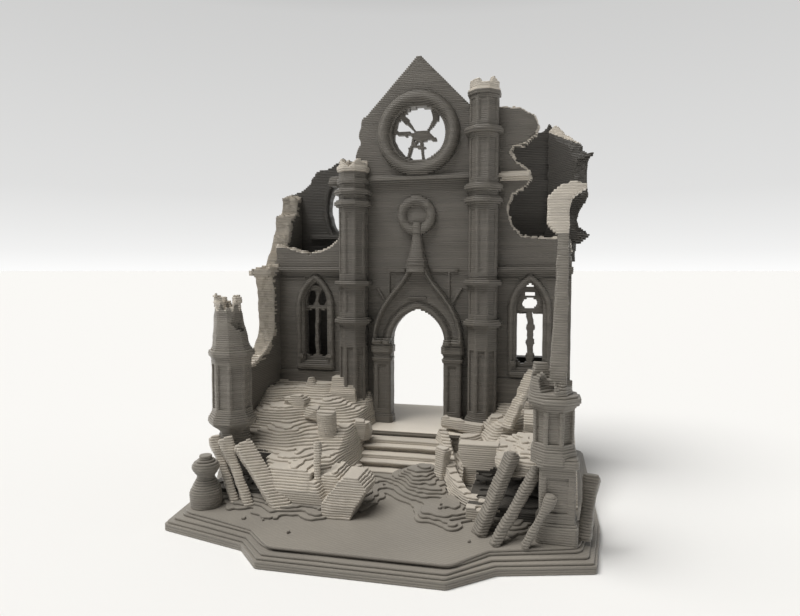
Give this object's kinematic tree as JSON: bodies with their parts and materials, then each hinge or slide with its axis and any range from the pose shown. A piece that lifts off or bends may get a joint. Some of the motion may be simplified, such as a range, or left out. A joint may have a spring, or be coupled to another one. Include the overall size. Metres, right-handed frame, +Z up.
{
  "type": "tabletop terrain ruin",
  "caption": "Ruined gothic chapel front on a stepped plinth with stairs, columns, broken walls and rubble, as scenery for tabletop games.",
  "frame": {"origin": "middle of the plinth's underside, on the surface that the ruin stands on", "axes": "+X to the right seen from the forecourt, +Y from the forecourt towards the chapel, +Z up"},
  "size_m": [0.0568, 0.0552, 0.07],
  "materials": {
    "print": "matte"
  },
  "bodies": {
    "root": {"baluster_stump": "print", "base_slab": "print", "centre_wall": "print", "chapel_floor": "print", "corner_post": "print", "door_hood": "print", "fallen_log": "print", "fallen_slab": "print", "ground_slab": "print", "hood_finial": "print", "left_bay_wall": "print", "left_board_1": "print", "left_board_2": "print", "left_board_3": "print", "left_column_lower": "print", "left_column_middle": "print", "left_column_upper": "print", "left_door_jamb": "print", "left_pillar_broken_top": "print", "left_pillar_footing": "print", "left_pillar_shaft": "print", "left_rear_wall": "print", "left_rubble_bank": "print", "left_rubble_heap": "print", "left_side_wall": "print", "left_string_course": "print", "left_window_frame": "print", "left_window_tracery": "print", "medallion": "print", "right_bay_wall": "print", "right_column_cap": "print", "right_column_lower": "print", "right_column_middle": "print", "right_column_upper": "print", "right_corner_wall": "print", "right_door_jamb": "print", "right_pillar_block": "print", "right_pillar_broken_top": "print", "right_pillar_shaft": "print", "right_plank_1": "print", "right_plank_2": "print", "right_plank_3": "print", "right_rear_wall": "print", "right_rubble_bank": "print", "right_rubble_heap": "print", "right_side_wall": "print", "right_string_course": "print", "right_wall_shard": "print", "right_window_frame": "print", "right_window_tracery": "print", "rose_ring": "print", "rose_tracery": "print", "rounded_block": "print", "step_1": "print", "step_2": "print", "step_3": "print", "step_4": "print", "step_5": "print", "step_6": "print", "top_string_course": "print"}
  },
  "joints": []
}
